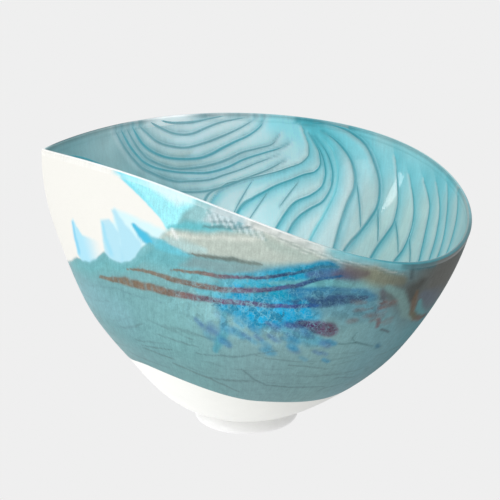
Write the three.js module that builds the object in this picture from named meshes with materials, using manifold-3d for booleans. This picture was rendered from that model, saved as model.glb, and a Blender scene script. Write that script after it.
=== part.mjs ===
// Art glass bowl: an opal glass cup on a small solid foot, drawn out to a pointed prow on one side.
// The wall is cased glass. From the outside inwards it is a turquoise overlay with an ivory panel and
// copper trails let into it, the opal core, a set of pulled feather threads, and a clear aqua casing.
// A drawn lip of teal glass closes the layered edge.
//
// Millimetres, +Z up. The origin is the centre of the foot's flat ground face, -X points at the prow,
// and the foot stands on z = 0. A place on the wall is given by three numbers:
//   turn   degrees around the bowl, 0 at the prow, 90 at the front (-Y), 180 at the round end (+X)
//   rise   0 where the wall leaves the foot, 1 at the top of the lip; -1 is the middle of the floor
//   depth  how far in from the outer face
import * as THREE from 'three';
import { ParametricGeometry } from 'three/addons/geometries/ParametricGeometry.js';
import { mergeVertices } from 'three/addons/utils/BufferGeometryUtils.js';
import Module from 'manifold-3d';

// ---- The bowl's outer form -------------------------------------------------------------------
const FOOT_RADIUS = 34.4; // the ground face
const FOOT_HEIGHT = 7.5;
const WAIST_RADIUS = 28; // where the wall leaves the foot
const FLOOR_SAG = 1.4; // the underside of the cup dips this much inside the waist

// Section of the wall: a cubic from the waist to the shoulder, which it carries on past to the lip.
const WALL_START = new THREE.Vector2(WAIST_RADIUS, FOOT_HEIGHT);
const WALL_HANDLE_LOW = new THREE.Vector2(63, 11);
const WALL_HANDLE_HIGH = new THREE.Vector2(144, 97);
const WALL_SHOULDER = new THREE.Vector2(139.5, 182.5);

const BODY_OFFSET = 9; // the body leans this far off the foot, away from the prow
const BODY_OFFSET_TOP = 61.5; // and has done all its leaning by this height

const PROW_START = 80; // the round body begins to turn into a teardrop here
const PROW_FULL = 174; // and is a full teardrop here
const TEARDROP_WIDENING = 0.17; // the teardrop's flanks are this much fuller than the circle

const RIM_MEAN = 170; // the wavy rim's height: a mean and three harmonics round the bowl
const RIM_COSINES = [22.8, -5.2, -2.5];
const RIM_SINES = [-0.7, 2.8, -2.1];

// ---- The layers of the wall, as depths from the outer face in the thick of the wall ------------
const OVERLAY_IN = 0.8;
const CORE_OUT = 1.7; // the core's outer face behind the overlay
const CORE_IN = 3.0;
const THREAD_OUT = 3.6;
const THREAD_IN = 4.0;
const CASING_OUT = 5.5;
const CASING_IN = 6.6;
const LIP_THINNING = 0.45; // every layer loses this share of its depth by the lip
const THINNING_START = 0.75;

const LAYER_TOP = 0.985; // the layers stop here and the lip sits above them
const LIP_BOTTOM = 0.987;
const EDGE_GAP = 0.0018; // the clearance around an inlaid piece, as a share of the rise (0.4 mm)

// Rise of the overlay's wavy lower edge, by turn, and the rows of points below and above it
const OVERLAY_EDGE = [
  [20, 0.45], [45, 0.492], [90, 0.42], [130, 0.405], [200, 0.43], [280, 0.46], [335, 0.435],
];
const ROWS_BELOW_EDGE = [0.14, 0.36, 0.64];
const ROWS_ABOVE_EDGE = [0, 0.18, 0.36, 0.54, 0.7, 0.86, 1];
const AROUND = 48; // facets round the bowl
const STEP = 360 / AROUND;

// ---- Pieces let into the overlay ----------------------------------------------------------------
// The ivory panel wraps the prow. It ends in a rounded nose on the front flank.
const PANEL_FROM = -42;
const PANEL_TO = 65.5;
const PANEL_TOP = [[46, LAYER_TOP], [54, 0.972], [60, 0.945], [PANEL_TO, 0.905]];
const PANEL_BOTTOM = [
  [PANEL_FROM, LAYER_TOP], [-34, 0.86], [-20, 0.75], [0, 0.7], [20, 0.74], [36, 0.78],
  [50, 0.797], [58, 0.845], [63, 0.88], [PANEL_TO, 0.905],
];
const PANEL_ROWS = 8;

// Trails of metallic copper glass drawn round the front, each a line through [turn, rise] points
const COPPER_TRAILS = [
  { points: [[67, 0.818], [75, 0.825], [84, 0.84], [93, 0.875], [104, 0.93]], width: 3.2 },
  { points: [[51, 0.782], [62, 0.792], [76, 0.797], [90, 0.817], [104, 0.86]], width: 3.2 },
  { points: [[41, 0.737], [54, 0.75], [70, 0.758], [86, 0.775], [99, 0.812], [112, 0.838]], width: 3.6 },
];
const TRAIL_STEPS = 20;
const TRAIL_CLEARANCE = 0.4;
const HOOK_TRAIL = {
  points: [[128, 0.945], [133, 0.88], [137, 0.82], [143, 0.785], [153, 0.758]],
  width: 4.0,
};

// ---- The pulled feather threads ------------------------------------------------------------------
const THREAD_COUNT = 22;
const FIRST_THREAD = 62; // turn of the first and last threads at the lip
const LAST_THREAD = 334;
const THREAD_WIDTH = 2.0;
const THREAD_STEPS = 24;
// One thread's course from the lip: it sweeps back, kinks, and runs down to the floor
const THREAD_COURSE = [
  [0, 0.965], [-16, 0.93], [-30, 0.86], [-34, 0.78], [-31, 0.66], [-27, 0.48], [-25, 0.27],
];

// ---- Colours ---------------------------------------------------------------------------------------
const IVORY = '#f3f1ea';
const OPAL = '#f2f4ef';
const TURQUOISE = '#5f9ea6';
const AQUA = '#8fc7cc';
const TEAL = '#1f6f7c';
const COPPER = '#8a5340';
const RUST = '#8f6a4a';

// ---- The wall as a surface ---------------------------------------------------------------------------
const smooth = (x) => THREE.MathUtils.smoothstep(x, 0, 1);
const wallSection = new THREE.CubicBezierCurve(
  WALL_START, WALL_HANDLE_LOW, WALL_HANDLE_HIGH, WALL_SHOULDER,
);

function rimHeight(turn) {
  const t = THREE.MathUtils.degToRad(turn);
  const harmonic = (i) => RIM_COSINES[i] * Math.cos((i + 1) * t) + RIM_SINES[i] * Math.sin((i + 1) * t);
  return RIM_MEAN + harmonic(0) + harmonic(1) + harmonic(2);
}

// The section's parameter at a height, by halving
function sectionAtHeight(height) {
  let low = 0;
  let high = 1.3;
  for (let i = 0; i < 40; i++) {
    const middle = (low + high) / 2;
    if (wallSection.getPoint(middle).y < height) low = middle;
    else high = middle;
  }
  return low;
}

// Radius and height on the section at a rise, moved in by the depth along the section's normal
function sectionPoint(turn, rise, depth) {
  if (rise < 0) {
    const radius = WAIST_RADIUS * (1 + rise);
    const sag = FLOOR_SAG * (1 - (radius / WAIST_RADIUS) ** 2);
    return { radius, height: FOOT_HEIGHT - sag + depth, outerHeight: FOOT_HEIGHT - sag };
  }
  const along = rise * sectionAtHeight(rimHeight(turn));
  const point = wallSection.getPoint(along);
  const ahead = wallSection.getPoint(along + 0.001);
  const behind = wallSection.getPoint(along - 0.001);
  const slope = ahead.sub(behind).normalize();
  return {
    radius: point.x - depth * slope.y,
    height: point.y + depth * slope.x,
    outerHeight: point.y,
  };
}

// A point in space: the round section is pushed off centre, and drawn out to a teardrop higher up
function wallPoint(turn, rise, depth) {
  const { radius, height, outerHeight } = sectionPoint(turn, rise, depth);
  const t = THREE.MathUtils.degToRad(turn);
  const teardrop = smooth((outerHeight - PROW_START) / (PROW_FULL - PROW_START));
  const centre = BODY_OFFSET * smooth((outerHeight - FOOT_HEIGHT) / (BODY_OFFSET_TOP - FOOT_HEIGHT));
  const width = (1 + TEARDROP_WIDENING * teardrop) * Math.abs(Math.sin(t / 2)) ** teardrop;
  return new THREE.Vector3(centre - radius * Math.cos(t), -radius * width * Math.sin(t), height);
}

// The depth of a layer at a rise: all layers thin together towards the lip
function layerDepth(depth, rise) {
  return depth * (1 - LIP_THINNING * smooth((rise - THINNING_START) / (1 - THINNING_START)));
}

// Eases from one [turn, value] point to the next
function valueAt(points, turn) {
  const next = points.findIndex(([at]) => at >= turn);
  if (next === 0) return points[0][1];
  if (next < 0) return points.at(-1)[1];
  const [fromTurn, from] = points[next - 1];
  const [toTurn, to] = points[next];
  return THREE.MathUtils.lerp(from, to, smooth((turn - fromTurn) / (toTurn - fromTurn)));
}

function overlayEdge(turn) {
  const lap = ([at, value], laps) => [at + 360 * laps, value];
  const wrapped = [lap(OVERLAY_EDGE.at(-1), -1), ...OVERLAY_EDGE, lap(OVERLAY_EDGE[0], 1)];
  return valueAt(wrapped, THREE.MathUtils.euclideanModulo(turn, 360));
}

// ---- The wall's facets --------------------------------------------------------------------------------
// Every layer has its corners at the same turns and rises, so that the layers' facets lie parallel.
const rowsBelow = (turn) => [-1, -0.5, 0, ...ROWS_BELOW_EDGE.map((share) => share * overlayEdge(turn))];
const rowsAbove = (turn) =>
  ROWS_ABOVE_EDGE.map((share) => THREE.MathUtils.lerp(overlayEdge(turn), LAYER_TOP, share));

const layerPoint = (turn, rise, depth) => wallPoint(turn, rise, layerDepth(depth, rise));

// A point on the flat facet of a layer, between the corners around it
function facetPoint(turn, rise, depth) {
  const column = Math.floor(turn / STEP);
  const across = turn / STEP - column;
  const left = [...rowsBelow(column * STEP), ...rowsAbove(column * STEP)];
  const right = [...rowsBelow((column + 1) * STEP), ...rowsAbove((column + 1) * STEP)];
  const rows = left.map((value, i) => THREE.MathUtils.lerp(value, right[i], across));
  const above = rows.findIndex((value) => value > rise);
  const row = above < 0 ? rows.length - 2 : above - 1;
  const up = (rise - rows[row]) / (rows[row + 1] - rows[row]);
  const lowRight = layerPoint((column + 1) * STEP, right[row], depth);
  const highLeft = layerPoint(column * STEP, left[row + 1], depth);
  const isLower = across + up <= 1;
  const corner = isLower
    ? layerPoint(column * STEP, left[row], depth)
    : layerPoint((column + 1) * STEP, right[row + 1], depth);
  const toRight = isLower ? across : 1 - up;
  const toLeft = isLower ? up : 1 - across;
  const stepRight = lowRight.sub(corner).multiplyScalar(toRight);
  const stepLeft = highLeft.sub(corner).multiplyScalar(toLeft);
  return stepRight.add(stepLeft).add(corner);
}

// ---- Making closed bodies ---------------------------------------------------------------------------
// A body skinned over a grid of points. Points that meet are merged and the empty faces there dropped.
// Each cell is split in two along one diagonal, and along the other one in a row that falls.
function skin(pointAt, columns, rows, falls = () => false) {
  const place = (a, b, target) => target.copy(pointAt(Math.round(a * columns), Math.round(b * rows)));
  const sheet = new ParametricGeometry(place, columns, rows);
  sheet.deleteAttribute('normal');
  sheet.deleteAttribute('uv');
  const faces = [];
  for (let row = 0; row < rows; row++) {
    for (let column = 0; column < columns; column++) {
      const a = row * (columns + 1) + column;
      const b = a + 1;
      const d = a + columns + 1;
      const c = d + 1;
      faces.push(...(falls(row) ? [a, b, c, a, c, d] : [a, b, d, b, c, d]));
    }
  }
  sheet.setIndex(faces);
  return withoutEmptyFaces(mergeVertices(sheet, 1e-4));
}

function withoutEmptyFaces(geometry) {
  const faces = geometry.index.array;
  const kept = [];
  for (let i = 0; i < faces.length; i += 3) {
    const [a, b, c] = faces.slice(i, i + 3);
    if (a !== b && b !== c && c !== a) kept.push(a, b, c);
  }
  geometry.setIndex(kept);
  return geometry;
}

// A body that runs right round the bowl, from a section of [rise, depth] stations that depends on the turn
function ringBody(sectionFor) {
  const stations = [];
  for (let i = 0; i < AROUND; i++) stations.push(sectionFor(i * STEP));
  const sections = stations.map((section, i) =>
    section.map(([rise, depth]) => wallPoint(i * STEP, rise, depth)));
  const falls = (row) => stations[0][row + 1][0] < stations[0][row][0];
  return skin((column, row) => sections[column % AROUND][row], AROUND, sections[0].length - 1, falls);
}

// Turns at both ends and at every facet of the bowl between them
function turnsBetween(from, to) {
  const turns = [from];
  for (let turn = Math.ceil(from / STEP + 0.2) * STEP; turn < to - STEP / 5; turn += STEP) turns.push(turn);
  turns.push(to);
  return turns;
}

// A panel in the wall between two edges that meet at its ends
function panelBody(from, to, lower, upper, outer, inner) {
  const sections = turnsBetween(from, to).map((turn) => {
    const section = [];
    for (let row = 0; row <= PANEL_ROWS; row++) {
      const rise = THREE.MathUtils.lerp(lower(turn), upper(turn), row / PANEL_ROWS);
      section.push(facetPoint(turn, rise, outer));
    }
    for (let row = PANEL_ROWS; row >= 0; row--) {
      const rise = THREE.MathUtils.lerp(lower(turn), upper(turn), row / PANEL_ROWS);
      section.push(facetPoint(turn, rise, inner));
    }
    section.push(section[0]);
    return section;
  });
  return skin((column, row) => sections[column][row], sections.length - 1, sections[0].length - 1);
}

// The step in [turn, rise] that goes these distances in millimetres along a heading and to its side
function stepOnWall({ x: turn, y: rise }, heading, forward, sideways) {
  const perDegree = layerPoint(turn + 0.5, rise, 0).distanceTo(layerPoint(turn - 0.5, rise, 0));
  const perRise = layerPoint(turn, rise + 0.005, 0).distanceTo(layerPoint(turn, rise - 0.005, 0)) / 0.01;
  const ahead = new THREE.Vector2(heading.x * perDegree, heading.y * perRise).normalize();
  const across = ahead.x * forward - ahead.y * sideways;
  const up = ahead.y * forward + ahead.x * sideways;
  return new THREE.Vector2(across / perDegree, up / perRise);
}

// A flat thread that follows a line through [turn, rise] points and narrows to nothing at both ends.
// A clearance makes it that much bigger all round.
function threadBody(points, width, outer, inner, steps, clearance = 0) {
  const line = new THREE.SplineCurve(points.map(([turn, rise]) => new THREE.Vector2(turn, rise)));
  const sectionAt = (share, forward, half) => {
    const heading = line.getTangent(share);
    const place = line.getPoint(share);
    const right = place.clone().add(stepOnWall(place, heading, forward, -half));
    const left = place.clone().add(stepOnWall(place, heading, forward, half));
    const corners = [[right, outer], [left, outer], [left, inner], [right, inner], [right, outer]];
    return corners.map(([at, depth]) => facetPoint(at.x, at.y, depth));
  };
  const sections = [];
  for (let i = 0; i <= steps; i++) {
    const swell = i === 0 || i === steps ? 0 : Math.sin(Math.PI * i / steps) ** 0.4;
    sections.push(sectionAt(i / steps, 0, width / 2 * swell + clearance));
  }
  if (clearance > 0) {
    sections.unshift(sectionAt(0, -2 * clearance, 0));
    sections.push(sectionAt(1, 2 * clearance, 0));
  }
  return skin((column, row) => sections[column][row], sections.length - 1, 4);
}

// ---- Joining and cutting -------------------------------------------------------------------------------
const wasm = await Module();
wasm.setup();

function toSolid(geometry) {
  const vertProperties = new Float32Array(geometry.attributes.position.array);
  const triVerts = new Uint32Array(geometry.index.array);
  return new wasm.Manifold(new wasm.Mesh({ numProp: 3, vertProperties, triVerts }));
}

function cut(geometry, cutters) {
  const solid = cutters.reduce((left, cutter) => left.subtract(toSolid(cutter)), toSolid(geometry));
  const mesh = solid.getMesh();
  const result = new THREE.BufferGeometry();
  result.setAttribute('position', new THREE.BufferAttribute(new Float32Array(mesh.vertProperties), 3));
  result.setIndex(new THREE.BufferAttribute(new Uint32Array(mesh.triVerts), 1));
  return result;
}

// ---- The pieces ------------------------------------------------------------------------------------------
const group = new THREE.Group();

function addPiece(name, geometry, color, roughness, metalness = 0) {
  const mesh = new THREE.Mesh(geometry, new THREE.MeshStandardMaterial({ color, roughness, metalness }));
  mesh.name = name;
  group.add(mesh);
}

// The foot is solid, with a ground flat face, and its top is dished to fit the cup
function footGeometry() {
  const seat = FOOT_HEIGHT - 0.35;
  const profile = [
    new THREE.Vector2(0, 0),
    new THREE.Vector2(FOOT_RADIUS - 0.8, 0),
    new THREE.Vector2(FOOT_RADIUS, 0.8),
    new THREE.Vector2(FOOT_RADIUS - 0.9, 3),
    new THREE.Vector2(WAIST_RADIUS + 2.6, 5.2),
    new THREE.Vector2(WAIST_RADIUS + 0.9, 6.6),
    new THREE.Vector2(WAIST_RADIUS, seat),
    new THREE.Vector2(WAIST_RADIUS / 2, seat - FLOOR_SAG * 0.75),
    new THREE.Vector2(0, seat - FLOOR_SAG),
  ];
  return new THREE.LatheGeometry(profile, AROUND).rotateX(Math.PI / 2);
}

// The opal cup: its full thickness shows below the overlay, and it steps in behind the overlay
function coreSection(turn) {
  const edge = overlayEdge(turn);
  const bare = [...rowsBelow(turn), edge - EDGE_GAP].map((rise) => [rise, 0]);
  const covered = [edge - EDGE_GAP, ...rowsAbove(turn).slice(1)];
  const behind = covered.map((rise) => [rise, layerDepth(CORE_OUT, rise)]);
  const rows = [...rowsBelow(turn), ...rowsAbove(turn)];
  const inside = rows.map((rise) => [rise, layerDepth(CORE_IN, rise)]).reverse();
  return [...bare, ...behind, ...inside];
}

// The overlay before its inlays are cut: a band from its wavy lower edge to the lip
function overlaySection(turn) {
  const rows = rowsAbove(turn);
  const outside = rows.map((rise) => [rise, 0]);
  const inside = rows.map((rise) => [rise, layerDepth(OVERLAY_IN, rise)]).reverse();
  return [...outside, ...inside, outside[0]];
}

// The casing lines the whole inside of the bowl
function casingSection(turn) {
  const rows = [...rowsBelow(turn), ...rowsAbove(turn)];
  const outside = rows.map((rise) => [rise, layerDepth(CASING_OUT, rise)]);
  const inside = rows.map((rise) => [rise, layerDepth(CASING_IN, rise)]).reverse();
  return [...outside, ...inside];
}

// The lip is a bead with a rounded top, a little narrower at its foot than in its middle
function lipSection() {
  const wall = layerDepth(CASING_IN, 1);
  const shoulder = 0.996;
  const belly = 0.991;
  const outside = [[LIP_BOTTOM, 0.1], [belly, 0], [shoulder, 0.3], [1, wall * 0.35]];
  const inside = [[1, wall * 0.65], [shoulder, wall - 0.3], [belly, wall], [LIP_BOTTOM, wall - 0.1]];
  return [...outside, ...inside, outside[0]];
}

const panelTop = (turn) => valueAt(PANEL_TOP, turn);
const panelBottom = (turn) => valueAt(PANEL_BOTTOM, turn);

// A pocket is a piece's own shape with clearance all round, reaching through the overlay
const POCKET_OUT = -1.5;
const POCKET_IN = 2.5;
const ABOVE_OVERLAY = LAYER_TOP + 0.01; // a rise that opens the pocket through the overlay's top
const PANEL_CLEARANCE = EDGE_GAP * 1.5;
const PANEL_END_REACH = 1.5; // the pocket's ends, in degrees beyond the panel

function panelPocket() {
  const from = PANEL_FROM - PANEL_END_REACH;
  const to = PANEL_TO + PANEL_END_REACH;
  const within = (turn) => THREE.MathUtils.clamp(turn, PANEL_FROM, PANEL_TO);
  const clearance = (turn) => (turn <= from || turn >= to ? 0 : PANEL_CLEARANCE);
  const top = (turn) => {
    const rise = panelTop(within(turn));
    return rise >= LAYER_TOP - 1e-6 ? ABOVE_OVERLAY : rise + clearance(turn);
  };
  const bottom = (turn) => (turn <= from ? ABOVE_OVERLAY : panelBottom(within(turn)) - clearance(turn));
  return panelBody(from, to, bottom, top, POCKET_OUT, POCKET_IN);
}

const trailBody = ({ points, width }) => threadBody(points, width, 0, OVERLAY_IN, TRAIL_STEPS);
const trailPocket = ({ points, width }) =>
  threadBody(points, width, POCKET_OUT, POCKET_IN, TRAIL_STEPS, TRAIL_CLEARANCE);

addPiece('foot', footGeometry(), OPAL, 0.3);
addPiece('opal_core', ringBody(coreSection), OPAL, 0.25);
addPiece('white_panel', panelBody(PANEL_FROM, PANEL_TO, panelBottom, panelTop, 0, OVERLAY_IN), IVORY, 0.25);
const pockets = [panelPocket(), ...[...COPPER_TRAILS, HOOK_TRAIL].map(trailPocket)];
addPiece('turquoise_overlay', cut(ringBody(overlaySection), pockets), TURQUOISE, 0.2);
COPPER_TRAILS.forEach((trail, i) => {
  addPiece(`copper_trail_${i + 1}`, trailBody(trail), COPPER, 0.35, 0.4);
});
addPiece('hook_trail', trailBody(HOOK_TRAIL), RUST, 0.35, 0.3);
addPiece('inner_casing', ringBody(casingSection), AQUA, 0.1);
addPiece('lip', ringBody(lipSection), TEAL, 0.1);

for (let i = 0; i < THREAD_COUNT; i++) {
  const start = THREE.MathUtils.lerp(FIRST_THREAD, LAST_THREAD, i / (THREAD_COUNT - 1));
  const course = THREAD_COURSE.map(([turn, rise]) => [start + turn, rise]);
  const name = `feather_thread_${String(i + 1).padStart(2, '0')}`;
  addPiece(name, threadBody(course, THREAD_WIDTH, THREAD_OUT, THREAD_IN, THREAD_STEPS), TEAL, 0.2);
}

export default group;
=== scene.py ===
"""Art glass bowl: the visual model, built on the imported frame.

Metres, +Z up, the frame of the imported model. A place on the wall is a turn in degrees (0 at the prow,
90 at the front, 180 at the round end), a rise (0 at the foot, 1 at the top of the lip, -1 at the middle
of the floor) and a depth in millimetres in from the outer face.
"""
import math

import bpy
import numpy as np
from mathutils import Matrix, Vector


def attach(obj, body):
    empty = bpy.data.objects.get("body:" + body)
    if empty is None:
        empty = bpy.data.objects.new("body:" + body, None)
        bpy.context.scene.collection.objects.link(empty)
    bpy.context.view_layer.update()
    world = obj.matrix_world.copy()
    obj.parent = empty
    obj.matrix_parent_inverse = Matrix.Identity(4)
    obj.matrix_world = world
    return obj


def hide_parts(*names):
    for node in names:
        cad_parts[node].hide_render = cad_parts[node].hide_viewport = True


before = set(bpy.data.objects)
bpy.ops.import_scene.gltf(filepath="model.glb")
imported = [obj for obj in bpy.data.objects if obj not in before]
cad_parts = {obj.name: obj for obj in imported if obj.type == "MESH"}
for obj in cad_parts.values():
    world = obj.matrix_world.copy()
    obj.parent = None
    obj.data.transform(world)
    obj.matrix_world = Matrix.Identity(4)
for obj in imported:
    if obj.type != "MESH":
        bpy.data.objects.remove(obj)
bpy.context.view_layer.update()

# ---- The bowl's form, in millimetres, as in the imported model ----
MM = 0.001
FOOT_RADIUS = 34.4
FOOT_HEIGHT = 7.5
WAIST_RADIUS = 28.0
FLOOR_SAG = 1.4
SECTION = np.array([(28, 7.5), (63, 11), (144, 97), (139.5, 182.5)])
BODY_OFFSET = 9.0
BODY_OFFSET_TOP = 61.5
PROW_START = 80.0
PROW_FULL = 174.0
TEARDROP_WIDENING = 0.17
RIM_MEAN = 170.0
RIM_COSINES = (22.8, -5.2, -2.5)
RIM_SINES = (-0.7, 2.8, -2.1)
LIP_THINNING = 0.45
THINNING_START = 0.75
OVERLAY_EDGE = ((20, 0.45), (45, 0.492), (90, 0.42), (130, 0.405), (200, 0.43), (280, 0.46), (335, 0.435))
LAYER_TOP = 0.985

# Depths of the faces seen, and of the hidden ones behind them
BARE_FACE = 0.8
OVERLAY_FACE = 0.65
PANEL_FACE = 0.58
TRAIL_FACE = 0.45
LINING_FACE = 6.6
CUP_INNER_FACE = 4.6
LINING_BACK = 5.2
LAP = 0.004  # how far layers run past each other's edges, as a rise
MM_PER_TURN = 2.2
MM_PER_RISE = 245.0


def smooth(x):
    x = np.clip(x, 0, 1)
    return x * x * (3 - 2 * x)


def section_point(along):
    u = np.asarray(along)[..., None]
    v = 1 - u
    return v**3 * SECTION[0] + 3 * v * v * u * SECTION[1] + 3 * v * u * u * SECTION[2] + u**3 * SECTION[3]


def section_slope(along):
    step = section_point(along + 0.001) - section_point(along - 0.001)
    return step / np.linalg.norm(step, axis=-1, keepdims=True)


def rim_height(turn):
    t = np.radians(turn)
    height = RIM_MEAN
    for i in range(3):
        height = height + RIM_COSINES[i] * np.cos((i + 1) * t) + RIM_SINES[i] * np.sin((i + 1) * t)
    return height


SECTION_STEPS = np.linspace(0, 1.3, 1301)
SECTION_HEIGHTS = section_point(SECTION_STEPS)[:, 1]


def layer_depth(depth, rise):
    return depth * (1 - LIP_THINNING * smooth((rise - THINNING_START) / (1 - THINNING_START)))


def wall(turn, rise, depth):
    """Points on the wall, in metres, for arrays of turn, rise and depth."""
    turn, rise, depth = np.broadcast_arrays(turn, rise, depth)
    t = np.radians(turn)
    along = np.clip(rise, 0, None) * np.interp(rim_height(turn), SECTION_HEIGHTS, SECTION_STEPS)
    outer = section_point(along)
    slope = section_slope(along)
    radius = outer[..., 0] - depth * slope[..., 1]
    height = outer[..., 1] + depth * slope[..., 0]
    floor_radius = WAIST_RADIUS * (1 + rise)
    sag = FLOOR_SAG * (1 - (floor_radius / WAIST_RADIUS) ** 2)
    radius = np.where(rise < 0, floor_radius, radius)
    height = np.where(rise < 0, FOOT_HEIGHT - sag + depth, height)
    outer_height = np.where(rise < 0, FOOT_HEIGHT - sag, outer[..., 1])
    teardrop = smooth((outer_height - PROW_START) / (PROW_FULL - PROW_START))
    centre = BODY_OFFSET * smooth((outer_height - FOOT_HEIGHT) / (BODY_OFFSET_TOP - FOOT_HEIGHT))
    width = (1 + TEARDROP_WIDENING * teardrop) * np.abs(np.sin(t / 2)) ** teardrop
    return np.stack([centre - radius * np.cos(t), -radius * width * np.sin(t), height], axis=-1) * MM


def overlay_edge(turn):
    """Rise of the overlay's wavy lower edge."""
    turns = np.array([t for t, _ in OVERLAY_EDGE] + [OVERLAY_EDGE[0][0] + 360.0])
    rises = np.array([r for _, r in OVERLAY_EDGE] + [OVERLAY_EDGE[0][1]])
    at = turns[0] + np.mod(turn - turns[0], 360)
    after = np.clip(np.searchsorted(turns, at, side="right"), 1, len(turns) - 1)
    share = smooth((at - turns[after - 1]) / (turns[after] - turns[after - 1]))
    return rises[after - 1] + (rises[after] - rises[after - 1]) * share


# ---- Meshes ----
def make_piece(name, points, faces, fields, material, replaces):
    """An object from points and faces. Points that meet are joined, and faces that vanish are dropped.
    Fields are values at the points, for the material to read."""
    keys = np.round(points / 1e-6).astype(np.int64)
    _, first, place = np.unique(keys, axis=0, return_index=True, return_inverse=True)
    place = place.reshape(-1)
    kept = []
    for face in faces:
        corners = list(dict.fromkeys(place[face].tolist()))
        if len(corners) > 2:
            kept.append(corners)
    mesh = bpy.data.meshes.new(name)
    mesh.from_pydata(points[first].tolist(), [], kept)
    for field, values in fields.items():
        values = np.asarray(values, dtype=np.float32)[first]
        if values.ndim == 1:
            mesh.attributes.new(field, "FLOAT", "POINT").data.foreach_set("value", values)
        else:
            mesh.attributes.new(field, "FLOAT_VECTOR", "POINT").data.foreach_set("vector", values.ravel())
    mesh.shade_smooth()
    mesh.validate()
    piece = bpy.data.objects.new(name, mesh)
    bpy.context.scene.collection.objects.link(piece)
    mesh.materials.append(material)
    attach(piece, "root")
    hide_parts(*replaces)
    return piece


def grid_faces(columns, rows, ring):
    """Faces over points in columns of rows. Every column is a loop; a ring's last column meets its first."""
    column = np.arange(columns if ring else columns - 1)
    row = np.arange(rows)
    a, b = np.meshgrid(column, row, indexing="ij")
    c, d = (a + 1) % columns, (b + 1) % rows
    return np.stack([a * rows + b, a * rows + d, c * rows + d, c * rows + b], axis=-1).reshape(-1, 4)


def ring_turns(fine_from, fine_to, fine, coarse):
    """Turns right round the bowl, closer together over one stretch."""
    near = np.arange(fine_from, fine_to, fine)
    far = np.arange(near[-1] + fine, fine_from + 360 - coarse / 2, coarse)
    return np.concatenate([near, far])


def ring_piece(name, turns, section, fields, material, replaces):
    """A body right round the bowl. The section gives each turn's closed loop as arrays of rise and depth."""
    rise, depth = section(turns[:, None])
    turn = np.broadcast_to(turns[:, None], rise.shape)
    points = wall(turn, rise, depth).reshape(-1, 3)
    faces = grid_faces(rise.shape[0], rise.shape[1], True)
    values = fields(turn.ravel(), rise.ravel(), depth.ravel())
    return make_piece(name, points, faces, values, material, replaces)


def strip_piece(name, turn, rise, depth, values, material, replaces):
    """A body along part of the wall: one closed loop of places per column, with both ends capped."""
    columns, rows = rise.shape
    points = wall(turn, rise, depth).reshape(-1, 3)
    faces = grid_faces(columns, rows, False).tolist()
    faces += [list(range(rows))[::-1], [(columns - 1) * rows + i for i in range(rows)]]
    return make_piece(name, points, faces, values, material, replaces)


# ---- Painting the wall ----
LATTICE = np.random.default_rng(11).uniform(-1, 1, 4096)


def cloud(points, size, seed):
    """Soft noise from -1 to 1, with lumps of one size, at points in the same unit."""
    place = points / size + seed * 37.7
    cell = np.floor(place).astype(np.int64)
    share = smooth(place - cell)
    total = 0
    for corner in np.ndindex(2, 2, 2):
        at = cell + np.array(corner)
        key = (at[:, 0] * 73856093) ^ (at[:, 1] * 19349663) ^ (at[:, 2] * 83492791)
        weight = np.prod(np.where(np.array(corner) == 1, share, 1 - share), axis=1)
        total = total + weight * LATTICE[key % len(LATTICE)]
    return total


def linear(colour):
    """A colour given as it looks on a screen, 0 to 255, as light."""
    c = np.array(colour, dtype=float) / 255
    return np.where(c <= 0.04045, c / 12.92, ((c + 0.055) / 1.055) ** 2.4)


def between(points, at):
    """Values read between [place, value...] rows, eased. Colours are rows of three values."""
    places = np.array([p[0] for p in points], dtype=float)
    values = np.array([p[1:] for p in points], dtype=float)
    after = np.clip(np.searchsorted(places, at, side="right"), 1, len(places) - 1)
    share = smooth((at - places[after - 1]) / (places[after] - places[after - 1]))
    return values[after - 1] + (values[after] - values[after - 1]) * share[..., None]


def line_distance(x, y, points):
    """Distance to a line, the share of the way along it, and the side (positive on its left)."""
    corners = np.array(points, dtype=float) * (MM_PER_TURN, MM_PER_RISE)
    nearest = np.full(x.shape, 1e6)
    share = np.zeros(x.shape)
    side = np.zeros(x.shape)
    last = len(corners) - 1
    for i in range(last):
        ahead = corners[i + 1] - corners[i]
        dx, dy = x - corners[i][0], y - corners[i][1]
        along = np.clip((dx * ahead[0] + dy * ahead[1]) / (ahead @ ahead), 0, 1)
        distance = np.hypot(dx - along * ahead[0], dy - along * ahead[1])
        closer = distance < nearest
        nearest = np.where(closer, distance, nearest)
        share = np.where(closer, (i + along) / last, share)
        side = np.where(closer, np.sign(ahead[0] * dy - ahead[1] * dx), side)
    return nearest, share, side


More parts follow.
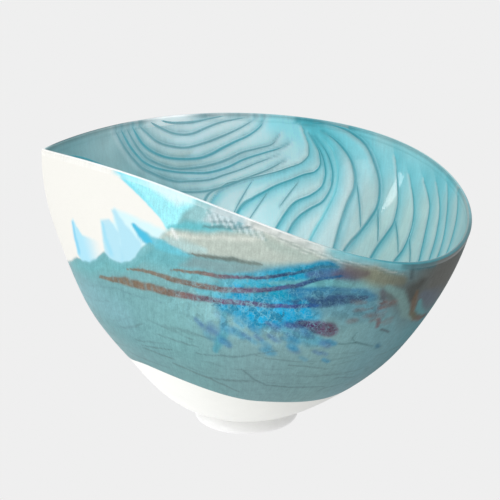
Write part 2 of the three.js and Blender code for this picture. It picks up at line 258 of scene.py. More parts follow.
class Canvas:
    """Colour laid on points of the wall, one stroke over another. Its turns start at the first one given."""

    def __init__(self, turn, rise, wander, first_turn):
        self.turn, self.rise = first_turn + np.mod(turn - first_turn, 360), rise
        place = wall(turn, rise, 0.0) / MM
        self.x = self.turn * MM_PER_TURN + wander * (cloud(place, 7, 1) + 0.5 * cloud(place, 2.5, 2))
        self.y = rise * MM_PER_RISE + wander * (cloud(place, 7, 3) + 0.5 * cloud(place, 2.5, 4))
        self.colour = np.ones((len(turn), 3)) * 0.5
        self.crackle = np.zeros(len(turn))
        self.grain = np.ones(len(turn))

    def mix(self, colour, weight):
        self.colour += (linear(colour) - self.colour) * weight[:, None]

    def stroke(self, points, width, colour, strength=1.0, soft=0.5, crackle=None):
        """A line of colour. The width may be given at both ends and the middle, and the ends taper."""
        lows, highs = np.min(points, axis=0), np.max(points, axis=0)
        reach = np.max(width) * (1 + soft)
        near = (self.x > lows[0] * MM_PER_TURN - reach) & (self.x < highs[0] * MM_PER_TURN + reach)
        near &= (self.y > lows[1] * MM_PER_RISE - reach) & (self.y < highs[1] * MM_PER_RISE + reach)
        at = np.flatnonzero(near)
        if len(at) == 0:
            return
        distance, share, _ = line_distance(self.x[at], self.y[at], points)
        widths = np.atleast_1d(width)
        half = np.interp(share, np.linspace(0, 1, len(widths)), widths) / 2
        weight = strength * smooth((1 + soft - distance / np.maximum(half, 0.05)) / (2 * soft))
        colours = linear(np.atleast_2d(colour))
        places = np.linspace(0, 1, len(colours))
        laid = np.stack([np.interp(share, places, colours[:, i]) for i in range(3)], axis=1)
        self.colour[at] += (laid - self.colour[at]) * weight[:, None]
        if crackle is not None:
            self.crackle[at] += (crackle - self.crackle[at]) * weight

    def haze(self, points, reach, colour, strength, side):
        """Colour on one side of a line, thinning out over its reach. The reach may change along it."""
        distance, share, on_side = line_distance(self.x, self.y, points)
        widths = np.interp(share, np.linspace(0, 1, len(reach)), reach)
        weight = strength * np.clip(1 - distance / widths, 0, 1) * (on_side * side > 0)
        self.mix(colour, weight)

    def patch(self, outline, colour, soft=1.5, strength=1.0, fade=None, grain=None):
        """An area of colour inside an outline, blurred over a few millimetres at its edge. It may fade
        out from one [turn, rise] place to another."""
        distance, _, _ = line_distance(self.x, self.y, list(outline) + [outline[0]])
        corners = np.array(outline, dtype=float) * (MM_PER_TURN, MM_PER_RISE)
        inside = np.zeros(len(self.x), dtype=bool)
        for (x1, y1), (x2, y2) in zip(corners, np.roll(corners, -1, axis=0)):
            crosses = (y1 > self.y) != (y2 > self.y)
            height = y2 - y1 if y2 != y1 else 1e-9
            inside ^= crosses & (self.x < x1 + (self.y - y1) * (x2 - x1) / height)
        weight = strength * smooth(np.where(inside, distance, -distance) / soft + 0.5)
        if fade is not None:
            start, end = np.array(fade, dtype=float) * (MM_PER_TURN, MM_PER_RISE)
            away = ((self.x - start[0]) * (end - start)[0] + (self.y - start[1]) * (end - start)[1])
            weight *= 1 - smooth(away / ((end - start) @ (end - start)))
        self.mix(colour, weight)
        if grain is not None:
            self.grain += (grain - self.grain) * weight


def outer_base(turn):
    """The turquoise body colour, by turn."""
    rows = [
        (0, 122, 168, 175), (45, 117, 166, 171), (65, 122, 172, 175), (90, 131, 171, 175),
        (110, 129, 170, 173), (130, 115, 160, 168), (155, 80, 143, 153), (200, 104, 152, 160),
        (280, 116, 166, 174), (360, 122, 168, 175),
    ]
    return between([(row[0], *linear(row[1:])) for row in rows], np.mod(turn, 360))


# Light that reaches a white surface, by turn, so that colours can be given as they look
OUTER_LIGHT = [
    (0, 0.98), (65, 0.97), (95, 0.92), (110, 0.84), (125, 0.76), (150, 0.74), (200, 0.76), (360, 0.98),
]

# Where the surface is crazed all over: its middle, and how far it reaches in turn and in rise
CRAZED_MIDDLE = (88, 0.765)
CRAZED_REACH = (30, 0.09)

IVORY = (239, 238, 232)
OPAL = (247, 248, 243)
SKY = (170, 220, 237)
AZURE = (0, 148, 186)
COBALT = (40, 108, 150)
BROWN_GREY = (96, 101, 99)
OCHRE = (130, 128, 104)
RUST = (106, 94, 80)
WISP = (92, 118, 120)

# The ivory panel's outline: its top edge from the lip to its rounded nose, then its lower edge back
PANEL_EDGE_TOP = [
    (-60, 1.1), (43, 1.1), (46, 1.0), (50, 0.99), (55, 0.972), (60, 0.945), (63, 0.928), (65, 0.912),
    (65.8, 0.9),
]
PANEL_EDGE_FOOT = [
    (64, 0.882), (61, 0.86), (58.5, 0.842), (56.5, 0.818), (53.5, 0.8), (50, 0.789), (46.5, 0.789),
    (44, 0.797), (40, 0.777), (36, 0.764), (31, 0.756), (27, 0.757), (23, 0.743), (17, 0.727), (8, 0.712),
    (0, 0.7), (-12, 0.72), (-22, 0.765), (-31, 0.84), (-38, 0.93), (-44, 1.1),
]


def paint_under_panel(canvas):
    """Teal under the panel's foot, and faint lines drawn along it."""
    stroke = canvas.stroke
    stroke([(20, 0.725), (32, 0.74), (46, 0.775), (54, 0.785)], (5, 9, 9, 5), (112, 180, 184), 0.7, 0.9)
    stroke([(30, 0.7), (44, 0.722), (62, 0.728)], 1.2, (104, 144, 150), 0.45, 0.9)
    stroke([(20, 0.655), (32, 0.68), (46, 0.66)], 16, (134, 182, 192), 0.5, 1)
    stroke([(56, 0.83), (64, 0.84), (74, 0.835), (84, 0.86)], (10, 16, 14, 8), (100, 176, 186), 0.7, 0.8)


def paint_wedge(canvas):
    """The cyan wedge between the lip and the panel, deepest in colour along the panel's edge."""
    stroke, patch = canvas.stroke, canvas.patch
    patch([(46, 1.05), (46, 0.995), (55, 0.96), (62, 0.92), (66, 0.89), (68, 0.905), (70.5, 0.95),
        (74, 0.985), (77, 1.05)], (160, 234, 243), 3.0)
    patch([(56, 1.05), (56, 1.0), (62, 0.985), (69, 0.965), (73, 0.985), (76, 1.05)],
        (220, 245, 247), 5.0, 0.85)
    stroke([(46.5, 0.998), (51, 0.985), (55, 0.97), (60, 0.943), (64, 0.925)], (1.5, 4.5, 5, 3),
        [(96, 206, 226), (112, 214, 232), (150, 228, 240)], 0.85, 0.8)


def paint_pearl(canvas):
    """The pearl cloud, the grey glass above it and the dark line under it, with a painted highlight on the
    cloud's tip and a painted band of glints under the lip.
    """
    stroke, patch = canvas.stroke, canvas.patch
    patch([(71, 0.945), (74, 0.99), (78, 1.05), (118, 1.05), (110, 0.985), (100, 0.975), (88, 0.965),
        (78, 0.93)], (148, 196, 200), 4.0, 0.95)
    patch([(76, 0.955), (78, 0.99), (84, 1.05), (108, 1.05), (100, 0.985), (90, 0.975), (84, 0.965)],
        (192, 208, 212), 5.0, 0.85)
    # Painted highlight: a pale beige band of glints along the top, under the lip.
    stroke([(87, 0.985), (96, 0.985), (104, 0.988)], (4, 8, 5), (214, 213, 205), 0.7, 0.9)
    stroke([(66.5, 0.905), (72, 0.925), (78, 0.942), (83, 0.96)], (2, 6, 5, 2), (98, 188, 198), 0.8, 0.7)
    patch([(63, 0.874), (66, 0.898), (72, 0.913), (79, 0.936), (85, 0.962), (91, 0.982), (100, 0.985),
        (107, 0.972), (103, 0.95), (97, 0.93), (91, 0.905), (85, 0.892), (78, 0.878), (73, 0.866),
        (68, 0.864)], (180, 191, 182), 4.5, 0.97)
    patch([(65, 0.895), (70, 0.9), (77, 0.915), (83, 0.94), (90, 0.965), (88, 0.95), (80, 0.925),
        (72, 0.9), (67, 0.885)], (224, 228, 219), 4.0, 0.7)
    stroke([(66, 0.875), (70, 0.875), (76, 0.885)], (4, 7, 3), (172, 206, 207), 0.7, 0.8)
    # Painted highlight: a near-white glint on the pearl cloud's tip.
    stroke([(67.5, 0.902), (68.5, 0.889)], 2.0, (236, 242, 240), 0.8, 0.8)
    stroke([(92, 0.955), (100, 0.962), (104, 0.955)], (5, 9, 4), (168, 186, 178), 0.7, 0.9)
    stroke([(76, 0.94), (80, 0.952), (84, 0.966), (88, 0.985)], (1.0, 2.0, 2.2, 1.2),
        (96, 128, 130), 0.75, 0.7)
    stroke([(78, 0.958), (83, 0.976)], 1.4, (84, 122, 128), 0.6, 0.7)
    stroke([(84, 0.972), (85, 0.985)], 3.0, (76, 158, 170), 0.6, 0.8)
    patch([(73, 0.86), (80, 0.873), (88, 0.893), (93, 0.9), (88, 0.868), (80, 0.843), (74, 0.835),
        (69, 0.828)], (128, 156, 158), 4.0, 0.85)
    stroke([(71.5, 0.862), (76, 0.871), (81, 0.882), (86, 0.893), (90, 0.9)], (0.8, 2.2, 2.6, 1.2),
        [(116, 112, 100), (92, 104, 98), (110, 126, 120)], 0.85, 0.6)


def paint_hairs(canvas):
    """Fine hairs: short upright ones on the grey glass, and long ones drawn along under the lip. The pale
    ones are partly painted light: a painted sheen on the grey glass and painted highlight lines under the
    lip.
    """
    stroke = canvas.stroke
    # Upright streaks; the pale ones are partly a painted sheen.
    for i in range(16):
        turn, colour = 76 + 0.9 * i, [(222, 236, 240), (88, 132, 138)][i % 2]
        stroke([(turn, 0.987), (turn + 1.6, 0.962), (turn + 2, 0.95 + 0.0012 * i)], (0.4, 1.3, 0.4),
            colour, 0.42, 0.9)
    # Long streaks under the lip; the pale ones are partly painted highlight lines.
    for i in range(10):
        turn, colour = 84 + 3.4 * i, [(232, 236, 232), (112, 132, 132)][i % 2]
        stroke([(turn, 0.99), (turn + 8, 0.981), (turn + 17, 0.966)], (0.6, 1.8, 0.6), colour, 0.38, 0.9)


def paint_panel(canvas):
    """The ivory panel, with light blue tongues that lick up into it."""
    stroke, patch = canvas.stroke, canvas.patch
    patch(PANEL_EDGE_TOP + PANEL_EDGE_FOOT, IVORY, 1.6, grain=0.1)
    patch([(50, 0.905), (58, 0.9), (65.5, 0.897), (62.5, 0.855), (59, 0.832), (54, 0.792), (47, 0.782),
        (44.5, 0.79), (44.5, 0.86), (49, 0.87)], (208, 240, 245), 4.0, 0.9)
    patch([(44, 0.866), (47.5, 0.876), (50.5, 0.85), (51.5, 0.782), (46.5, 0.782), (44.2, 0.79),
        (44, 0.83)], SKY, 2.2, 0.8)
    patch([(48.8, 0.9), (50, 0.905), (53, 0.875), (58, 0.848), (58, 0.822), (54.5, 0.795), (50, 0.782),
        (50.8, 0.83), (50, 0.87)], SKY, 2.6, 0.85)
    patch([(28.3, 0.765), (28.7, 0.8), (29, 0.836), (30, 0.845), (31.3, 0.832), (34, 0.815), (42, 0.815),
        (44, 0.79), (40, 0.77), (36, 0.757), (31, 0.749)],
        (168, 224, 243), 2.4, 0.95, ((33, 0.79), (44, 0.81)))
    stroke([(29.2, 0.835), (29.3, 0.8), (30, 0.775)], (2.5, 4.5, 4), (128, 204, 236), 0.8, 0.8)
    stroke([(44.8, 0.86), (45.2, 0.83), (46.5, 0.8)], (2, 3.5, 4), (146, 214, 238), 0.6, 0.9)
    patch([(55.3, 0.882), (58, 0.88), (61, 0.874), (68, 0.867), (73, 0.861), (68, 0.848), (61, 0.845),
        (58.8, 0.85), (56.8, 0.866)], (104, 190, 206), 2.2, 0.9)
    stroke([(56, 0.88), (58, 0.868), (60.5, 0.857)], (2.5, 5.5, 5), (66, 186, 222), 0.9, 0.6)
    under = [(at, rise_at - 0.0125) for at, rise_at in PANEL_EDGE_FOOT[1:12]]
    stroke(under, 4.4, (112, 176, 182), 0.9, 0.35)


def paint_azure(canvas):
    """Azure and cobalt glass between and below the trails."""
    stroke = canvas.stroke
    stroke([(80, 0.83), (90, 0.86), (99, 0.9), (107, 0.95)], (4, 11, 13, 9),
        [(100, 175, 190), AZURE, (0, 130, 166)], 1.0, 0.35, 0.45)
    stroke([(74, 0.79), (86, 0.815), (98, 0.86), (108, 0.9)], (6, 13, 15, 12),
        [(104, 178, 190), (0, 152, 184), (4, 118, 160)], 1.0, 0.5, 0.6)
    stroke([(80, 0.772), (92, 0.785), (103, 0.81)], (10, 21, 13), (6, 140, 180), 0.95, 0.6, 0.9)
    stroke([(98, 0.86), (106, 0.882), (114, 0.895), (120, 0.885)], (8, 16, 16, 6), COBALT, 0.85, 0.6, 0.5)
    stroke([(102, 0.915), (110, 0.935)], (6, 14), (72, 90, 130), 0.8, 0.8)
    stroke([(104, 0.84), (112, 0.85), (122, 0.85)], (14, 26, 16), (88, 140, 158), 0.75, 0.8, 0.8)
    stroke([(92, 0.862), (100, 0.886), (108, 0.912), (117, 0.927), (125, 0.93)], (1.5, 4.5, 6, 6, 5),
        [(92, 170, 180), (104, 168, 172), (140, 166, 160)], 0.9, 0.5)
    stroke([(96, 0.822), (103, 0.842), (110, 0.865), (118, 0.887)], (3, 7, 8, 3),
        [(30, 74, 124), (40, 66, 112), (60, 80, 108)], 0.85, 0.5, 0.4)


def paint_smear(canvas, random):
    """The purple smear and the blue spots round it."""
    stroke = canvas.stroke
    stroke([(91, 0.757), (95, 0.762), (99, 0.769), (104, 0.777)], (2, 5, 6, 4),
        [(84, 80, 136), (50, 54, 124), (52, 46, 110)], 0.9, 0.5)
    stroke([(101, 0.776), (105, 0.771), (109, 0.767)], (4, 11, 12),
        [(70, 46, 100), (98, 54, 84)], 0.92, 0.35, 0.85)
    stroke([(97, 0.742), (104, 0.728), (108, 0.722)], (6, 12, 6), (66, 146, 172), 0.75, 0.7, 0.8)
    for turn, rise, size in ((84, 0.8, 9), (88, 0.765, 10), (93, 0.79, 12), (97, 0.8, 8), (101, 0.815, 7)):
        stroke([(turn, rise + 0.012), (turn + 0.8, rise - 0.012)], size, (0, 146, 192), 0.95, 0.45, 0.9)
    stroke([(80, 0.745), (80, 0.7), (78, 0.67), (76.5, 0.64)], (4, 6.5, 4), (78, 158, 176), 0.8, 0.6)
    for _ in range(46):
        turn, rise = random.uniform(72, 112), random.uniform(0.65, 0.765)
        colour = [(30, 140, 184), (72, 112, 164)][random.integers(2)]
        spot = [(turn - 0.8, rise + 0.004), (turn + 0.8, rise - 0.004)]
        stroke(spot, random.uniform(2.5, 5.5), colour, random.uniform(0.25, 0.65), 0.7, 0.6)


def paint_right_side(canvas, random):
    """Ochre and brown glass, the hook and the pale arc beside it."""
    stroke = canvas.stroke
    stroke([(126, 0.9), (136, 0.9), (150, 0.93)], (20, 52, 70), BROWN_GREY, 0.85, 0.8)
    stroke([(146, 0.94), (156, 0.9)], 40, (104, 103, 98), 0.8, 0.8)
    stroke([(112, 0.958), (119, 0.955), (128, 0.945)], (8, 13, 9),
        [(116, 110, 104), OCHRE, (118, 120, 104)], 0.85, 0.7)
    stroke([(109, 0.935), (113, 0.945), (117, 0.957)], (6, 9, 4),
        [(84, 82, 104), (100, 92, 92)], 0.75, 0.8)
    stroke([(124, 0.92), (129, 0.9), (132, 0.86), (135, 0.82), (141, 0.785)], (5, 8, 9, 9, 5),
        (124, 160, 158), 0.8, 0.6)
    stroke([(137, 0.935), (134, 0.91), (135, 0.875)], (6, 13, 6), (74, 76, 72), 0.75, 0.9)
    stroke([(131, 0.985), (131.5, 0.955)], 3.5, (72, 84, 88), 0.6, 0.8)
    stroke([(108, 0.988), (118, 0.992), (128, 0.988)], 4, (112, 184, 194), 0.7, 0.8)
    stroke([(128, 0.99), (140, 0.985)], 4, (60, 116, 126), 0.75, 0.8)
    stroke([(140, 0.88), (146, 0.845), (152, 0.82)], (8, 18, 14), (98, 110, 126), 0.7, 0.9)
    stroke([(139.5, 0.855), (142, 0.81), (148, 0.775)], (4, 9, 6), (96, 156, 162), 0.85, 0.7)
    stroke(HOOK[0], HOOK[1], HOOK[2], 0.9, 0.7)
    stroke([(124.3, 0.81), (124.8, 0.785)], 3.4, (118, 100, 106), 0.8, 0.7)
    stroke([(122.5, 0.905), (124, 0.87), (122.5, 0.84)], (4, 5, 3), (96, 92, 100), 0.6, 0.8)
    stroke([(127, 0.77), (131, 0.752)], 2.2, (82, 92, 98), 0.7, 0.7)
    for _ in range(22):
        turn, rise = random.uniform(113, 130), random.uniform(0.79, 0.875)
        spot = [(turn - 1, rise), (turn + 1, rise + 0.005)]
        stroke(spot, random.uniform(2, 4.5), (124, 96, 90), random.uniform(0.2, 0.5), 0.8, 0.5)


def paint_low_lines(canvas):
    """Dark lines low on the front."""
    stroke = canvas.stroke
    stroke([(113, 0.718), (119, 0.722), (124, 0.708), (127, 0.7)], (0.8, 1.8, 1), (76, 112, 116), 0.7, 0.8)
    stroke([(118, 0.762), (117.2, 0.74), (119, 0.722)], 1.1, (76, 112, 116), 0.6, 0.8)
    stroke([(129, 0.7), (130, 0.69)], 4.2, (58, 116, 142), 0.75, 0.8)
    stroke([(70, 0.615), (82, 0.63), (95, 0.675)], (0.8, 1.4, 0.8), (98, 130, 134), 0.6, 0.8)
    stroke([(84, 0.585), (88, 0.545), (92, 0.52), (115, 0.515)], (1, 2, 1.4, 0.8),
        (88, 120, 124), 0.6, 0.8)
    stroke([(60, 0.555), (72, 0.52), (82, 0.47)], (1, 2.2, 1.2), (100, 126, 128), 0.6, 0.8)


def paint_front(canvas):
    """The picture drawn in the overlay round the front of the bowl, with a few painted highlights, in the
    order it is laid.
    """
    random = np.random.default_rng(3)
    paint_under_panel(canvas)
    paint_wedge(canvas)
    paint_pearl(canvas)
    paint_hairs(canvas)
    paint_panel(canvas)
    paint_azure(canvas)
    paint_smear(canvas, random)
    paint_right_side(canvas, random)
    paint_low_lines(canvas)
    for course, widths, colours in TRAILS:
        canvas.stroke(course, widths, colours, 0.96, 0.35)


# The three streaks and the hook: course, widths in millimetres, colours along them
TRAILS = [
    ([(66, 0.812), (71, 0.8215), (76, 0.83), (81, 0.8395), (85, 0.851), (89.5, 0.867), (93.5, 0.8835),
      (97.5, 0.904), (101.6, 0.927), (105, 0.944), (109, 0.958)], (0.8, 2.2, 2.0, 1.8, 1.8, 1.2),
      [(122, 112, 94), (122, 100, 86), (108, 80, 98), (62, 56, 92), (34, 66, 104), (30, 98, 130),
      (60, 120, 140)]),
    ([(52, 0.777), (59.7, 0.7885), (66.3, 0.7895), (71.2, 0.7945), (76, 0.801), (81, 0.81), (85.2, 0.8195),
      (90.5, 0.8395), (94.6, 0.857), (98, 0.873), (102, 0.897), (106, 0.9175), (110, 0.936)],
      (0.8, 3.0, 3.2, 3.0, 2.4, 2.4, 1.4),
      [(124, 116, 102), (126, 106, 88), (122, 98, 88), (104, 74, 100), (66, 62, 112), (34, 66, 112),
      (40, 90, 130)]),
    ([(39, 0.734), (45, 0.742), (52.3, 0.75), (60.5, 0.756), (66.7, 0.76), (71, 0.765), (75, 0.772),
      (81, 0.782), (87.2, 0.7945), (93.4, 0.807), (98.7, 0.82), (104, 0.838)],
      (1.0, 4.4, 4.2, 3.4, 2.8, 2.6, 2.6),
      [(122, 118, 106), (124, 106, 86), (124, 98, 82), (114, 80, 88), (96, 60, 98), (64, 54, 116),
      (38, 82, 140)]),
]
HOOK = ([(136, 0.9), (136.6, 0.86), (138, 0.815), (142, 0.784), (147, 0.766), (153, 0.753)],
        (3, 6, 6, 6, 6, 3), [RUST, (110, 94, 78), (98, 96, 72), (106, 86, 74), (76, 76, 74)])


def break_trails(canvas):
    """Gaps where the streaks broke up as they were drawn."""
    random = np.random.default_rng(8)
    for course, _, _ in TRAILS:
        turns, rises = np.transpose(course)
        for turn in np.arange(turns[0], 92, 1.1):
            rise = np.interp(turn, turns, rises) + random.uniform(-0.003, 0.003)
            gap = [(turn, rise + 0.011), (turn + random.uniform(-0.5, 0.5), rise - 0.011)]
            canvas.stroke(gap, random.uniform(0.3, 0.9), (116, 156, 162), random.uniform(0.0, 0.6), 0.8)


def paint_wisps(canvas):
    """Fine dark wisps drawn round the lower part of the overlay."""
    random = np.random.default_rng(5)
    for _ in range(130):
        start, length = random.uniform(-150, 175), random.uniform(8, 26)
        rise, climb = random.uniform(0.47, 0.69), random.uniform(-0.02, 0.035)
        course = [(start + length * share, rise + climb * share ** 1.6) for share in (0, 0.35, 0.7, 1)]
        canvas.stroke(course, (0.5, random.uniform(0.7, 1.9), 0.5), WISP, random.uniform(0.2, 0.6), 0.9)


def outer_fields(turn, rise, depth=None):
    """What the overlay's material reads: its colour, how crazed and grainy it is, and its fibres."""
    canvas = Canvas(turn, rise, 0.55, -160)
    canvas.colour = outer_base(turn)
    paint_wisps(canvas)
    paint_front(canvas)
    break_trails(canvas)
    low = smooth((0.72 - rise) / 0.25)
    light = between(OUTER_LIGHT, np.mod(turn, 360)) * (1.12 + 0.28 * low)[:, None]
    (middle_turn, middle_rise), (reach_turn, reach_rise) = CRAZED_MIDDLE, CRAZED_REACH
    crazed = smooth(1.25 - np.hypot((turn - middle_turn) / reach_turn, (rise - middle_rise) / reach_rise))
    crackle = np.maximum(canvas.crackle, crazed * 0.75) * smooth((rise - 0.5) / 0.1) * canvas.grain
    return {
        "paint": canvas.colour / light,
        "crackle": crackle,
        "grain": canvas.grain,
        "ring": ring_field(turn, rise),
    }


def cup_fields(turn, rise, depth):
    """Plain opal white all over."""
    return {"paint": linear(OPAL)[None, :] * np.ones((len(turn), 1)) * 0.93}


# ---- The feather threads inside ----
TEAL = (46, 138, 152)
GREY = (84, 138, 148)
PALE = (110, 192, 202)
HAZE = (88, 182, 194)

# Threads seen on the far wall, from the round end to the prow: points, widths in millimetres, colour
FAN_THREADS = [
    ([(193, 0.995), (187, 0.945), (182.5, 0.89), (179, 0.84), (177, 0.76), (176, 0.6)],
      (1.0, 2.8, 1.6), TEAL),
    ([(199, 0.97), (193, 0.9), (188, 0.845), (185, 0.8), (183, 0.72), (183, 0.58)], (0.8, 2.8, 1.5), TEAL),
    ([(205, 0.95), (199, 0.9), (194.5, 0.84), (191.5, 0.79), (189, 0.73), (189, 0.56)],
      (0.7, 2.8, 1.5), TEAL),
    ([(211, 0.93), (204.5, 0.88), (201, 0.81), (198.5, 0.765), (196, 0.71), (196, 0.55)],
      (0.7, 3.0, 1.5), TEAL),
    ([(218, 0.92), (213, 0.865), (210, 0.82), (208.5, 0.77), (208.6, 0.72), (210.5, 0.66), (212, 0.52)],
      (0.7, 3.0, 1.5), TEAL),
    ([(225, 0.95), (222, 0.89), (219, 0.83), (218, 0.775), (219.5, 0.73), (221.5, 0.68), (223, 0.6),
      (224, 0.5)], (0.7, 3.2, 1.6), TEAL),
    ([(256, 0.982), (250, 0.993), (243, 0.985), (236, 0.955), (231, 0.9), (228.3, 0.855), (227, 0.8),
      (228.5, 0.75), (231, 0.7), (235, 0.63), (238, 0.5)], (1.6, 2.6, 3.2, 1.8, 1.2), TEAL),
    ([(251, 0.968), (246, 0.945), (241, 0.905), (238.3, 0.86), (237.5, 0.82), (238.7, 0.77), (239.6, 0.7),
      (240, 0.6), (242, 0.48)], (1.4, 2.6, 2.4, 1.2), TEAL),
    ([(252, 0.955), (247, 0.915), (244.5, 0.86), (244, 0.82), (244.5, 0.78), (247, 0.71), (250, 0.64),
      (254, 0.5)], (0.8, 1.8, 2.2, 1.2), PALE),
    ([(253, 0.95), (248.5, 0.9), (246, 0.85), (245.8, 0.8), (248, 0.755), (252, 0.725), (256, 0.69),
      (259, 0.64), (264, 0.5)], (0.8, 1.8, 2.6, 1.4), TEAL),
    ([(254, 0.95), (250, 0.89), (248.3, 0.84), (249, 0.8), (252.5, 0.765), (257.5, 0.735), (261, 0.69),
      (266, 0.6), (270, 0.5)], (0.8, 1.8, 2.6, 1.4), TEAL),
    ([(255, 0.955), (251.5, 0.905), (250.5, 0.865), (252, 0.84), (255.5, 0.825), (260, 0.8), (264, 0.78),
      (268, 0.755), (272, 0.73), (277, 0.69), (284, 0.56)], (0.8, 1.6, 2.6, 1.8, 1.2), TEAL),
    ([(257, 0.965), (255, 0.92), (254.7, 0.885), (257, 0.858), (261, 0.838), (265, 0.82), (271, 0.8),
      (276, 0.785), (282, 0.765), (290, 0.68)], (0.8, 1.2, 2.2, 1.8, 1.4), GREY),
    ([(262, 0.86), (268, 0.822), (275, 0.79), (281, 0.765), (288, 0.75), (296, 0.756), (301, 0.775)],
      (1, 2.4, 1.6), GREY),
    ([(264, 0.875), (271, 0.845), (276, 0.822), (281, 0.805), (286, 0.79), (292, 0.79), (298, 0.8),
      (304, 0.84), (308, 0.88), (315, 0.995)], (0.8, 1.8, 2.2, 1.6), GREY),
    ([(261, 0.915), (264, 0.897), (269, 0.878), (275, 0.855), (280, 0.83), (286, 0.815), (292, 0.82),
      (298, 0.835), (304, 0.865), (308, 0.91), (313, 0.995)], (1.0, 2.2, 2.0, 1.6), TEAL),
    ([(264, 0.94), (266, 0.91), (270, 0.895), (275, 0.88), (279, 0.86), (283, 0.845), (289, 0.835),
      (296, 0.84), (302, 0.87), (306, 0.91), (311, 0.995)], (0.8, 2.4, 2.0, 1.6), GREY),
    ([(268.5, 0.993), (269.5, 0.965), (273, 0.935), (277, 0.915), (281, 0.895), (285, 0.875), (289, 0.866),
      (295, 0.872), (300, 0.89), (305, 0.93), (309, 0.995)], (0.8, 2.4, 2.2, 1.6), TEAL),
    ([(271, 0.985), (276, 0.955), (281, 0.932), (286, 0.915), (291, 0.905), (295, 0.91), (300, 0.93),
      (304, 0.965), (307, 0.995)], (0.8, 2.0, 1.8, 1.2), GREY),
    ([(273, 0.99), (281, 0.975), (285, 0.962), (290, 0.945), (295, 0.95), (300, 0.975), (303, 0.995)],
      (0.8, 2.0, 1.2), GREY),
    ([(279, 0.995), (285, 0.985), (290, 0.978), (296, 0.982), (300, 0.995)], (0.6, 1.8, 1.0), GREY),
    ([(237, 0.84), (234, 0.78), (231, 0.71)], (0.8, 2.0, 1.0), TEAL),
    ([(227, 0.8), (224.5, 0.75), (221.8, 0.695)], (0.8, 2.0, 1.0), TEAL),
    ([(218, 0.785), (214, 0.745), (210, 0.7)], (0.8, 1.8, 1.0), TEAL),
    ([(208.5, 0.765), (204, 0.73), (200, 0.69)], (0.8, 1.8, 1.0), TEAL),
    ([(257, 0.8), (260, 0.755), (263, 0.71)], (0.6, 1.4, 0.8), GREY),
    ([(267, 0.755), (270, 0.71), (275, 0.64)], (0.6, 1.4, 0.8), GREY),
    ([(272, 0.79), (277, 0.71), (281, 0.64)], (0.6, 1.4, 0.8), GREY),
]
# The first run down to the floor, the next sweep round under the rim, and the last are short branches
FAN_SIZE = 13
SWEEP_END = 21
for fan_course, _, _ in FAN_THREADS[:FAN_SIZE]:
    fan_course.append((fan_course[-1][0] + 5, 0.27))

# Light that reaches a white inner surface, by turn
INNER_LIGHT = [
    (0, 0.52), (60, 0.6), (120, 0.7), (180, 0.74), (205, 0.74), (230, 0.72), (250, 0.62), (275, 0.47),
    (300, 0.45), (325, 0.48), (360, 0.52),
]
FLOOR_LIGHT = 0.6
INNER_TINT = (1.0, 1.1, 1.1)  # the cyan walls light one another


def inner_base(turn):
    """The lining's body colour, by turn."""
    rows = [
        (0, 112, 158, 164), (60, 150, 190, 194), (120, 156, 194, 196), (160, 150, 186, 186),
        (185, 166, 201, 201), (215, 168, 204, 201), (245, 167, 200, 202), (262, 168, 207, 211),
        (280, 184, 207, 209), (295, 158, 183, 186), (312, 140, 171, 174), (335, 112, 151, 156),
        (360, 112, 151, 156),
    ]
    return between([(row[0], *linear(row[1:])) for row in rows], np.mod(turn, 360))


def floor_share(rise):
    """How far a place takes the floor's one colour and light: 0 up the wall, 1 well out on the floor."""
    return smooth((0.3 - rise) / 0.7)


def inner_light(turn, rise):
    """Light that reaches a white surface inside, in each of the three colours."""
    light = between(INNER_LIGHT, np.mod(turn, 360))
    light += (FLOOR_LIGHT - light) * floor_share(rise)[:, None]
    return light * np.array(INNER_TINT)


def inner_colours(turn, rise):
    """A canvas with the lining's clouds, cells and haze, but without its threads."""
    canvas = Canvas(turn, rise, 0.4, 0)
    canvas.colour = inner_base(turn)
    canvas.mix((146, 184, 187), floor_share(rise))
    stroke = canvas.stroke
    # turquoise haze under the far rim, pale and beige cells, the dark place where the threads gather
    stroke([(196, 0.99), (215, 0.95), (232, 0.93), (250, 0.98)], (16, 34, 30, 14),
        (122, 202, 212), 0.85, 0.9)
    stroke([(236, 0.995), (256, 0.955), (270, 0.99)], (12, 22, 12), (132, 206, 216), 0.8, 0.9)
    stroke([(287, 0.955), (292, 0.925), (290, 0.895)], (14, 18, 12), (186, 212, 218), 0.8, 0.7)
    stroke([(280, 0.83), (286, 0.8), (292, 0.805)], (6, 10, 6), (184, 212, 218), 0.7, 0.7)
    stroke([(291, 0.89), (299, 0.875), (303, 0.9)], (5, 9, 5), (160, 178, 176), 0.9, 0.6)
    stroke([(288, 0.855), (296, 0.85), (302, 0.865)], (3, 7, 4), (158, 178, 176), 0.9, 0.6)
    stroke([(312, 0.99), (311, 0.93), (306, 0.86), (300, 0.8)], (8, 16, 20, 16), (120, 158, 163), 0.6, 0.9)
    stroke([(252, 0.99), (256, 0.982), (259, 0.99)], (5, 7, 3), (50, 132, 146), 0.9, 0.7)
    for course, _, _ in FAN_THREADS[:FAN_SIZE]:
        canvas.haze(course, (12, 10, 7), HAZE, 0.8, -1)
        canvas.haze(course, (3, 6, 5), (192, 212, 209), 0.7, 1)
    for course, _, _ in FAN_THREADS[FAN_SIZE:SWEEP_END]:
        canvas.haze(course, (6, 5, 6), (112, 158, 165), 0.4, 1)
        canvas.haze(course, (5, 7, 5), (184, 202, 205), 0.65, -1)
    return canvas


def inner_fields(turn, rise, depth=None):
    """What the lining's material reads, with a soft line of colour under each thread."""
    canvas = inner_colours(turn, rise)
    for points, widths, colour in FAN_THREADS:
        canvas.stroke(points, np.array(widths) * 2.0, colour, 0.45, 0.9)
    return {"paint": canvas.colour / inner_light(turn, rise), "ring": ring_field(turn, rise)}


